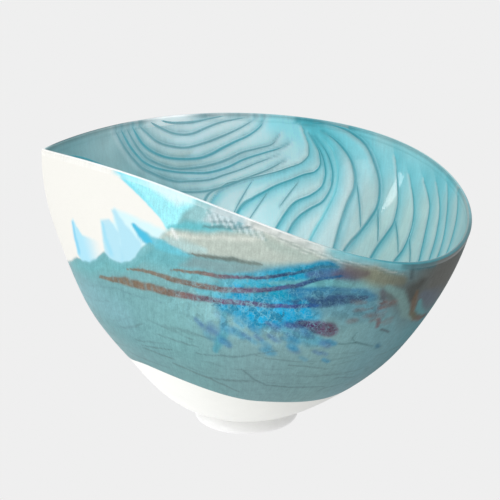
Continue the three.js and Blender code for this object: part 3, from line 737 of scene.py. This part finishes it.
def curve_through(points, spacing):
    """Points in millimetres on the opened-out wall, evenly along a smooth line through the given ones."""
    given = np.array(points, dtype=float) * (MM_PER_TURN, MM_PER_RISE)
    ends = np.vstack([2 * given[0] - given[1], given, 2 * given[-1] - given[-2]])
    line = [given[0]]
    for i in range(1, len(ends) - 2):
        p0, p1, p2, p3 = ends[i - 1:i + 3]
        count = max(2, int(np.hypot(*(p2 - p1)) / spacing))
        for t in np.linspace(0, 1, count + 1)[1:]:
            line.append(0.5 * (2 * p1 + (p2 - p0) * t + (2 * p0 - 5 * p1 + 4 * p2 - p3) * t * t
                               + (3 * p1 - p0 - 3 * p2 + p3) * t ** 3))
    return np.array(line)


ACROSS = np.linspace(-1, 1, 9)
THREAD_HEIGHT = 0.34  # how far a thread stands off the lining, in millimetres
PACKED_THREADS = 22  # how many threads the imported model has


def ribbon(course, widths):
    """Loops along a course: nine places across the top, then five back under it. The third array is half
    the ribbon's width."""
    line = curve_through(course, 1.6)
    heading = np.gradient(line, axis=0)
    heading /= np.linalg.norm(heading, axis=1, keepdims=True)
    side = np.stack([-heading[:, 1], heading[:, 0]], axis=1)
    share = np.linspace(0, 1, len(line))
    taper = np.minimum(1, np.minimum(share, 1 - share) * 12 + 0.05)
    half = np.interp(share, np.linspace(0, 1, len(widths)), widths) / 2 * taper
    top = line[:, None, :] + side[:, None, :] * (half[:, None] * ACROSS)[:, :, None]
    place = np.concatenate([top, top[:, ::-2]], axis=1) / (MM_PER_TURN, MM_PER_RISE)
    return place[..., 0], np.minimum(place[..., 1], 0.992), half


def crown(half, height, sunk, under):
    """How far each place of a ribbon's loops stands off the face it lies on, in millimetres."""
    top = height * np.cos(ACROSS * math.pi / 2) * np.minimum(1, half[:, None] / 1.2) - sunk
    return np.concatenate([top, np.full((len(half), 5), -under)], axis=1)


def thread_piece(name, course, widths, colour, material, replaces):
    """A thread of glass that stands a little proud of the lining, and fades into it at its sides."""
    turn, rise, half = ribbon(course, np.array(widths) * 1.7)
    depth = layer_depth(LINING_FACE, rise) + crown(half, THREAD_HEIGHT, 0.06, 0.5)
    canvas = inner_colours(turn.ravel(), rise.ravel())
    strength = np.concatenate([1 - np.abs(ACROSS) ** 1.5, np.zeros(5)])
    fullness = np.minimum(1, half[:, None] / 0.6)
    canvas.mix(colour, (strength[None, :] * fullness).ravel() * 0.9)
    light = inner_light(turn.ravel(), rise.ravel())
    fields = {"paint": canvas.colour / light, "ring": ring_field(turn.ravel(), rise.ravel())}
    return strip_piece(name, turn, rise, depth, fields, material, replaces)


def trail_piece(name, course, widths, material):
    """A streak that stands a little proud of the overlay and carries the same drawn colours."""
    turn, rise, half = ribbon(course, np.array(widths) * 1.15)
    depth = OVERLAY_FACE - crown(half, OVERLAY_FACE - TRAIL_FACE + 0.05, 0.05, 0.4)
    fields = outer_fields(turn.ravel(), rise.ravel())
    return strip_piece(name, turn, rise, depth, fields, material, [name])


def swept_thread(first_turn):
    """The course of a thread on the near wall, like the others but unseen from the front."""
    course = [(0, 0.965), (-12, 0.93), (-23, 0.86), (-26, 0.78), (-24, 0.66), (-20, 0.5), (-18, 0.3)]
    return [(first_turn + step, rise) for step, rise in course]


def make_threads(material):
    """All the threads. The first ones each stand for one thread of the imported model."""
    near = [(swept_thread(60 + 10.5 * i), (0.8, 2.4, 1.4), TEAL) for i in range(12)]
    prow = [(swept_thread(338 + 12 * i), (0.8, 2.4, 1.4), TEAL) for i in range(7)]
    threads = near + FAN_THREADS + prow
    for i, (points, widths, colour) in enumerate(threads):
        name = "feather_thread_%02d" % (i + 1)
        stands_for = [name] if i < PACKED_THREADS else []
        thread_piece(name, points, widths, colour, material, stands_for)


# The lip's edge colour by turn, from the ends of the glass layers. The pale rows are partly painted
# highlight: the glossy lip at the front left, and the white strip at 292 to 305.
LIP_COLOURS = [
    (0, 250, 251, 248), (56, 246, 250, 249), (66, 232, 247, 249), (76, 232, 242, 244),
    (90, 236, 239, 239), (103, 206, 216, 214), (110, 118, 186, 196), (125, 66, 154, 168),
    (145, 58, 136, 148), (168, 80, 134, 142), (178, 122, 184, 194), (200, 176, 230, 236),
    (280, 190, 230, 236), (292, 232, 240, 243), (305, 226, 236, 238), (312, 66, 104, 112),
    (340, 60, 98, 106), (352, 190, 214, 216), (360, 250, 251, 248),
]


def lip_fields(turn, rise, depth):
    """The overlay's colours outside, the lining's inside, and the bright edge between them, which is partly
    painted highlight, with a painted highlight on the lip's inner side near turn 296.
    """
    edge = between([(row[0], *linear(row[1:])) for row in LIP_COLOURS], np.mod(turn, 360)) / 0.95
    outside = outer_fields(turn, np.minimum(rise, 0.99))["paint"]
    inside = inner_fields(turn, np.minimum(rise, 0.985))["paint"]
    colour = edge + (outside - edge) * smooth((1.0 - depth) / 0.5)[:, None]
    # Painted highlight: the lip's inner side turns near-white around turn 296.
    painted_highlight = smooth(1.3 - np.abs(np.mod(turn, 360) - 296) / 8)[:, None]
    inside += (linear((240, 246, 248)) / 0.7 - inside) * painted_highlight
    shade = 1 - 0.35 * smooth((rise - 0.99) / 0.006)[:, None] * (1 - painted_highlight)
    colour += (inside * shade - colour) * smooth((depth - 2.3) / 0.6)[:, None]
    return {"paint": colour, "ring": ring_field(turn, rise)}


# ---- Materials ----
class Graph:
    """Short ways to add the nodes of one material."""

    def __init__(self, name):
        self.material = bpy.data.materials.new(name)
        self.material.use_nodes = True
        self.nodes = self.material.node_tree.nodes
        self.links = self.material.node_tree.links
        self.shader = self.nodes["Principled BSDF"]

    def attribute(self, name, output="Vector"):
        node = self.nodes.new("ShaderNodeAttribute")
        node.attribute_name = name
        return node.outputs[output]

    def position(self):
        return self.nodes.new("ShaderNodeTexCoord").outputs["Object"]

    def noise(self, vector, scale, detail=3.0, roughness=0.55, output=0):
        node = self.nodes.new("ShaderNodeTexNoise")
        node.inputs["Scale"].default_value = scale
        node.inputs["Detail"].default_value = detail
        node.inputs["Roughness"].default_value = roughness
        self.links.new(vector, node.inputs["Vector"])
        return node.outputs[output]

    def spread(self, value, low, high, to_low, to_high):
        node = self.nodes.new("ShaderNodeMapRange")
        for socket, number in zip(node.inputs[1:5], (low, high, to_low, to_high)):
            socket.default_value = number
        self.links.new(value, node.inputs["Value"])
        return node.outputs["Result"]

    def around_one(self, value, swing):
        """Noise turned into a factor that swings to both sides of 1."""
        return self.spread(value, 0.3, 0.7, 1 - swing, 1 + swing)

    def math(self, operation, first, second):
        node = self.nodes.new("ShaderNodeMath")
        node.operation = operation
        for socket, value in zip(node.inputs, (first, second)):
            if isinstance(value, (int, float)):
                socket.default_value = value
            else:
                self.links.new(value, socket)
        return node.outputs[0]

    def mix(self, factor, first, second, blend="MIX"):
        node = self.nodes.new("ShaderNodeMix")
        node.data_type = "RGBA"
        node.blend_type = blend
        sockets = (node.inputs[0], node.inputs[6], node.inputs[7])
        for socket, value in zip(sockets, (factor, first, second)):
            if isinstance(value, (int, float)):
                socket.default_value = value
            elif isinstance(value, tuple):
                socket.default_value = (*value, 1)
            else:
                self.links.new(value, socket)
        return node.outputs[2]

    def net(self, scale, width):
        """Crazing: a net of fine lines, 1 on a line and 0 off it, and a value for each of its cells."""
        place = self.position()
        bend = self.nodes.new("ShaderNodeVectorMath")
        bend.operation = "MULTIPLY_ADD"
        self.links.new(self.noise(place, scale * 1.3, output=1), bend.inputs[0])
        bend.inputs[1].default_value = (1.5 / scale,) * 3
        self.links.new(place, bend.inputs[2])
        edges = self.nodes.new("ShaderNodeTexVoronoi")
        edges.feature = "DISTANCE_TO_EDGE"
        cells = self.nodes.new("ShaderNodeTexVoronoi")
        for node in (edges, cells):
            node.inputs["Scale"].default_value = scale
            self.links.new(bend.outputs[0], node.inputs["Vector"])
        parts = self.nodes.new("ShaderNodeSeparateColor")
        self.links.new(cells.outputs["Color"], parts.inputs[0])
        return self.spread(edges.outputs["Distance"], 0.0, width, 1.0, 0.0), parts.outputs[0]

    def bump(self, height, strength, distance):
        node = self.nodes.new("ShaderNodeBump")
        node.inputs["Strength"].default_value = strength
        node.inputs["Distance"].default_value = distance
        self.links.new(height, node.inputs["Height"])
        self.links.new(node.outputs[0], self.shader.inputs["Normal"])

    def finish(self, colour, roughness, specular, coat, coat_roughness):
        """Colour and gloss go to the shader. The colour is a link, and roughness a link or a number."""
        self.links.new(colour, self.shader.inputs["Base Color"])
        if isinstance(roughness, (int, float)):
            self.shader.inputs["Roughness"].default_value = roughness
        else:
            self.links.new(roughness, self.shader.inputs["Roughness"])
        self.shader.inputs["Specular IOR Level"].default_value = specular
        self.shader.inputs["Coat Weight"].default_value = coat
        self.shader.inputs["Coat Roughness"].default_value = coat_roughness
        return self.material


CRAZING = (138, 204, 218)


def lustre_glass(name, grain, fibre, specular):
    """Satin coloured glass: granular, drawn out in fibres, and crazed with a pale net where stretched."""
    g = Graph(name)
    place = g.position()
    fine = g.noise(place, 1100.0)
    lumps = g.noise(place, 260.0)
    fibres = g.noise(g.attribute("ring"), 1.0, 4.0, 0.6)
    shade = g.math("MULTIPLY", g.around_one(fine, grain), g.around_one(lumps, grain))
    shade = g.math("MULTIPLY", shade, g.around_one(fibres, fibre))
    crazing = g.attribute("crackle", "Fac")
    coarse, cells = g.net(215.0, 0.1)
    small, _ = g.net(520.0, 0.14)
    cell_shade = g.spread(cells, 0.0, 1.0, 0.5, 1.45)
    shade = g.mix(g.attribute("grain", "Fac"), (1.0, 1.0, 1.0), shade)
    colour = g.mix(1.0, g.attribute("paint"), shade, "MULTIPLY")
    colour = g.mix(g.math("MULTIPLY", crazing, 0.75), colour, g.mix(1.0, colour, cell_shade, "MULTIPLY"))
    patches = g.spread(g.noise(place, 130.0), 0.4, 0.6, 0.0, 1.0)
    lines = g.math("MAXIMUM", g.math("MULTIPLY", coarse, patches), g.math("MULTIPLY", small, 0.3))
    mottle = g.spread(g.noise(place, 420.0, 5.0, 0.75), 0.5, 0.66, 0.0, 0.75)
    lines = g.math("MAXIMUM", lines, mottle)
    shown = g.math("MULTIPLY", g.math("MULTIPLY", lines, crazing), 0.66)
    colour = g.mix(shown, colour, tuple(linear(CRAZING)))
    g.bump(g.math("ADD", fine, g.math("MULTIPLY", lumps, 0.8)), 0.3, 0.0003)
    roughness = g.spread(fine, 0.3, 0.7, 0.36, 0.5)
    return g.finish(colour, roughness, specular, coat=0.0, coat_roughness=0.1)


def opal_glass():
    """White glass with faint clouds under a soft gloss."""
    g = Graph("opal_glass")
    place = g.position()
    clouds = g.spread(g.noise(place, 45.0, 5.0), 0.3, 0.7, 0.975, 1.02)
    fine = g.noise(place, 900.0)
    shade = g.math("MULTIPLY", clouds, g.spread(fine, 0.3, 0.7, 0.985, 1.01))
    g.bump(fine, 0.12, 0.0002)
    colour = g.mix(1.0, g.attribute("paint"), shade, "MULTIPLY")
    return g.finish(colour, 0.32, specular=0.35, coat=0.2, coat_roughness=0.08)


def cased_glass(name, depth):
    """The clear-cased inner face: soft clouds and fine drawn lines under a smooth gloss."""
    g = Graph(name)
    place = g.position()
    clouds = g.around_one(g.noise(place, 75.0, 4.0), depth)
    fibres = g.around_one(g.noise(g.attribute("ring"), 0.6, 3.0), depth * 0.8)
    fine = g.around_one(g.noise(place, 800.0), 0.03)
    shade = g.math("MULTIPLY", g.math("MULTIPLY", clouds, fibres), fine)
    g.bump(g.noise(place, 90.0), 0.08, 0.0006)
    colour = g.mix(1.0, g.attribute("paint"), shade, "MULTIPLY")
    return g.finish(colour, 0.3, specular=0.25, coat=0.5, coat_roughness=0.04)


def ring_field(turn, rise):
    """A vector for fibres that run up the wall: a millimetre across is 1, and a millimetre up far less."""
    t = np.radians(turn - 14 * rise)
    return np.stack([np.cos(t) * 130, np.sin(t) * 130, rise * MM_PER_RISE / 9], axis=1)


# ---- The pieces ----
def cup_section(turn):
    """The cup: its bare face, its hidden face behind the overlay, and its inner face."""
    edge = overlay_edge(turn)
    underside = np.linspace(-1, 0, 8)[:-1] + 0 * turn
    below = np.concatenate([underside, np.linspace(0, 1, 70) * (edge + LAP)], axis=1)
    behind = edge + 0.01 + np.linspace(0, 1, 40) * (LAYER_TOP - edge - 0.01)
    inner = LAYER_TOP - np.linspace(0, 1, 60) * (LAYER_TOP + 1) + 0 * turn
    rise = np.concatenate([below, behind, inner], axis=1)
    depth = np.concatenate([
        np.full(below.shape, BARE_FACE),
        np.full(behind.shape, OVERLAY_FACE + 0.8),
        layer_depth(np.full(inner.shape, CUP_INNER_FACE), inner),
    ], axis=1)
    return rise, depth


def overlay_section(turn):
    """The overlay: a skin that thins out over the cup at its lower edge."""
    edge = overlay_edge(turn) - LAP
    outer = edge + np.linspace(0, 1, 130) * (LAYER_TOP + LAP - edge)
    inner = LAYER_TOP + LAP / 2 - np.linspace(0, 1, 40) * (LAYER_TOP - edge - LAP)
    rise = np.concatenate([outer, inner], axis=1)
    feather = smooth((outer - edge) / 0.012)
    depth = np.concatenate([
        BARE_FACE + 0.1 + (OVERLAY_FACE - BARE_FACE - 0.1) * feather,
        np.full(inner.shape, OVERLAY_FACE + 0.4),
    ], axis=1)
    return rise, depth


def panel_piece(material):
    """The ivory panel, from its wavy foot up to the lip, or to its own top edge where that comes down."""
    turns = np.arange(-45, 67.01, 0.45)[:, None]
    foot = np.interp(turns, *np.transpose(PANEL_EDGE_FOOT[::-1])) - 0.01
    top = np.minimum(np.interp(turns, *np.transpose(PANEL_EDGE_TOP)) + 0.01, LAYER_TOP)
    foot = np.minimum(foot, top - LAP)
    up = np.linspace(0, 1, 90)[None, :]
    down = np.linspace(1, 0, 30)[None, :]
    rise = np.concatenate([foot + (top - foot) * up, foot + (top - foot) * down], axis=1)
    edge = np.minimum(np.minimum(up, 1 - up) * (top - foot), (turns + 45.5) / 112) / 0.008
    face = OVERLAY_FACE + 0.05 + (PANEL_FACE - OVERLAY_FACE - 0.05) * smooth(edge)
    depth = np.concatenate([face, np.full((len(turns), 30), OVERLAY_FACE + 0.2)], axis=1)
    turn = turns + 0 * rise
    fields = outer_fields(turn.ravel(), rise.ravel())
    return strip_piece("white_panel", turn, rise, depth, fields, material, ["white_panel"])


def lining_section(turn):
    """The inner casing: its seen face, from the floor up to the lip, and its hidden back."""
    seen = np.concatenate([np.linspace(-1, 0, 12)[:-1], np.linspace(0, LAYER_TOP + LAP, 144)])
    seen = seen[None, :] + 0 * turn
    back = LAYER_TOP - np.linspace(0, 1, 44)[None, :] * (LAYER_TOP + 1) + 0 * turn
    rise = np.concatenate([seen, back], axis=1)
    depth = np.concatenate([
        layer_depth(np.full(seen.shape, LINING_FACE), seen),
        layer_depth(np.full(back.shape, LINING_BACK), back),
    ], axis=1)
    return rise, depth


def lip_section(turn):
    """The lip: a round bead over the layers' top edges, with a short skirt down each face."""
    thick = layer_depth(LINING_FACE, 1.0) - 0.45
    angle = np.linspace(0, math.pi, 17)
    top = 1 - (thick / 2) * 0.8 / MM_PER_RISE * (1 - np.sin(angle))
    over = thick / 2 * (1 - np.cos(angle)) + 0.5
    rise = np.concatenate([[0.979, 0.984], top, [0.986, 0.9765, 0.976, 0.974]])
    depth = np.concatenate([[1.1, 0.62], over, [thick + 0.52, thick + 0.55, thick + 0.5, thick - 0.2]])
    return rise[None, :] + 0 * turn, depth[None, :] + 0 * turn


def make_foot(material):
    """The foot: a disc with a rounded edge that draws in to the waist."""
    profile = np.array([
        (0, 0), (FOOT_RADIUS - 1.2, 0), (FOOT_RADIUS - 0.35, 0.25), (FOOT_RADIUS, 1.0),
        (FOOT_RADIUS - 0.35, 2.3), (FOOT_RADIUS - 1.8, 4.2), (FOOT_RADIUS - 3.9, 6.1),
        (WAIST_RADIUS + 1.0, 7.9), (WAIST_RADIUS - 2.0, 7.9), (0, 6.3),
    ])
    turns = np.radians(np.arange(0, 360, 3.0))
    radius, height = profile[:, 0][None, :], profile[:, 1][None, :]
    points = np.stack([
        radius * np.cos(turns)[:, None],
        radius * np.sin(turns)[:, None],
        height + 0 * turns[:, None],
    ], axis=-1).reshape(-1, 3) * MM
    faces = grid_faces(len(turns), len(profile), True)
    fields = {"paint": np.ones((len(points), 3)) * 0.97}
    return make_piece("foot", points, faces, fields, material, ["foot"])


BACKDROP = 0.863  # the pale grey of the floor and of the room, as light
FLOOR_BOUNCE = (1.3, 0.48)  # how bright the floor lights the bowl at its left edge and at its right
BOUNCE_SPAN = (-0.05, 0.14)  # from where to where along X the bounce changes
ROOM_LIGHT = 0.56


def light_and_look(nodes, links, light, shader):
    """The shader shows at full strength to the camera, and lights the bowl with another strength."""
    path = nodes.new("ShaderNodeLightPath")
    strength = nodes.new("ShaderNodeMix")
    strength.inputs["B"].default_value = 1.0
    if isinstance(light, float):
        strength.inputs["A"].default_value = light
    else:
        links.new(light, strength.inputs["A"])
    links.new(path.outputs["Is Camera Ray"], strength.inputs["Factor"])
    links.new(strength.outputs["Result"], shader.inputs["Strength"])
    shader.inputs["Color"].default_value = (BACKDROP, BACKDROP, BACKDROP, 1)


def make_floor():
    bpy.ops.mesh.primitive_plane_add(size=30)
    floor = bpy.context.object
    floor.name = "floor"
    material = bpy.data.materials.new("floor_white")
    material.use_nodes = True
    nodes, links = material.node_tree.nodes, material.node_tree.links
    position = nodes.new("ShaderNodeNewGeometry")
    split = nodes.new("ShaderNodeSeparateXYZ")
    fall = nodes.new("ShaderNodeMapRange")
    for socket, number in zip(fall.inputs[1:5], (*BOUNCE_SPAN, *FLOOR_BOUNCE)):
        socket.default_value = number
    links.new(position.outputs["Position"], split.inputs[0])
    links.new(split.outputs["X"], fall.inputs["Value"])
    glow = nodes.new("ShaderNodeEmission")
    light_and_look(nodes, links, fall.outputs[0], glow)
    links.new(glow.outputs[0], nodes["Material Output"].inputs["Surface"])
    floor.data.materials.append(material)


def make_studio():
    world = bpy.data.worlds.new("studio")
    world.use_nodes = True
    nodes, links = world.node_tree.nodes, world.node_tree.links
    light_and_look(nodes, links, ROOM_LIGHT, nodes["Background"])
    bpy.context.scene.world = world
    bpy.context.scene.view_settings.view_transform = "Standard"


def add_light(name, location, target, size, power):
    light = bpy.data.lights.new(name, "AREA")
    light.shape = "RECTANGLE"
    light.size, light.size_y = size
    light.energy = power
    lamp = bpy.data.objects.new(name, light)
    lamp.location = location
    lamp.rotation_euler = (Vector(location) - Vector(target)).to_track_quat("Z", "Y").to_euler()
    bpy.context.scene.collection.objects.link(lamp)


CAMERA_TARGET = Vector((0.0025, 0, 0.1161))
CAMERA_DISTANCE = 1.2187
CAMERA_ELEVATION = math.radians(21)


def make_camera():
    camera = bpy.data.objects.new("camera", bpy.data.cameras.new("camera"))
    camera.data.lens = 135.4
    camera.data.sensor_width = 36
    away = Vector((0, -math.cos(CAMERA_ELEVATION), math.sin(CAMERA_ELEVATION)))
    camera.location = CAMERA_TARGET + CAMERA_DISTANCE * away
    camera.rotation_euler = away.to_track_quat("Z", "Y").to_euler()
    camera.data.clip_end = 100
    bpy.context.scene.collection.objects.link(camera)
    bpy.context.scene.camera = camera


make_camera()
make_floor()
make_studio()
centre = (0.0, 0.0, 0.1)
add_light("key", (-1.1, -1.0, 1.2), centre, (1.0, 1.0), 8)
add_light("top", (0.25, -0.7, 1.5), centre, (1.2, 0.8), 7)
add_light("low_fill", (-0.6, -1.3, 0.12), (0.0, 0.0, 0.02), (0.8, 0.2), 3)
add_light("window", (-1.71, 0.06, 0.98), (0.1, 0.07, 0.1), (0.2, 0.5), 2.8)

outer_turns = ring_turns(20, 165, 0.45, 1.5)
inner_turns = ring_turns(165, 350, 0.5, 1.6)
opal = opal_glass()
turquoise = lustre_glass("turquoise_glass", grain=0.08, fibre=0.09, specular=0.08)
ivory = lustre_glass("ivory_glass", grain=0.04, fibre=0.03, specular=0.14)
copper = lustre_glass("copper_glass", grain=0.14, fibre=0.12, specular=0.12)
rust = lustre_glass("rust_glass", grain=0.12, fibre=0.1, specular=0.14)
aqua = cased_glass("aqua_glass", 0.05)
thread = cased_glass("thread_glass", 0.04)
teal = cased_glass("teal_glass", 0.05)
make_foot(opal)
ring_piece("opal_cup", np.arange(0, 360, 1.5), cup_section, cup_fields, opal, ["opal_core"])
ring_piece("overlay_skin", outer_turns, overlay_section, outer_fields, turquoise,
           ["turquoise_overlay"])
panel_piece(ivory)
for number, (course, widths, _) in enumerate(TRAILS):
    trail_piece("copper_trail_%d" % (number + 1), course, widths, copper)
trail_piece("hook_trail", HOOK[0], HOOK[1], rust)
ring_piece("inner_lining", inner_turns, lining_section, inner_fields, aqua, ["inner_casing"])
ring_piece("lip", np.arange(0, 360, 0.75), lip_section, lip_fields, teal, ["lip"])
make_threads(thread)
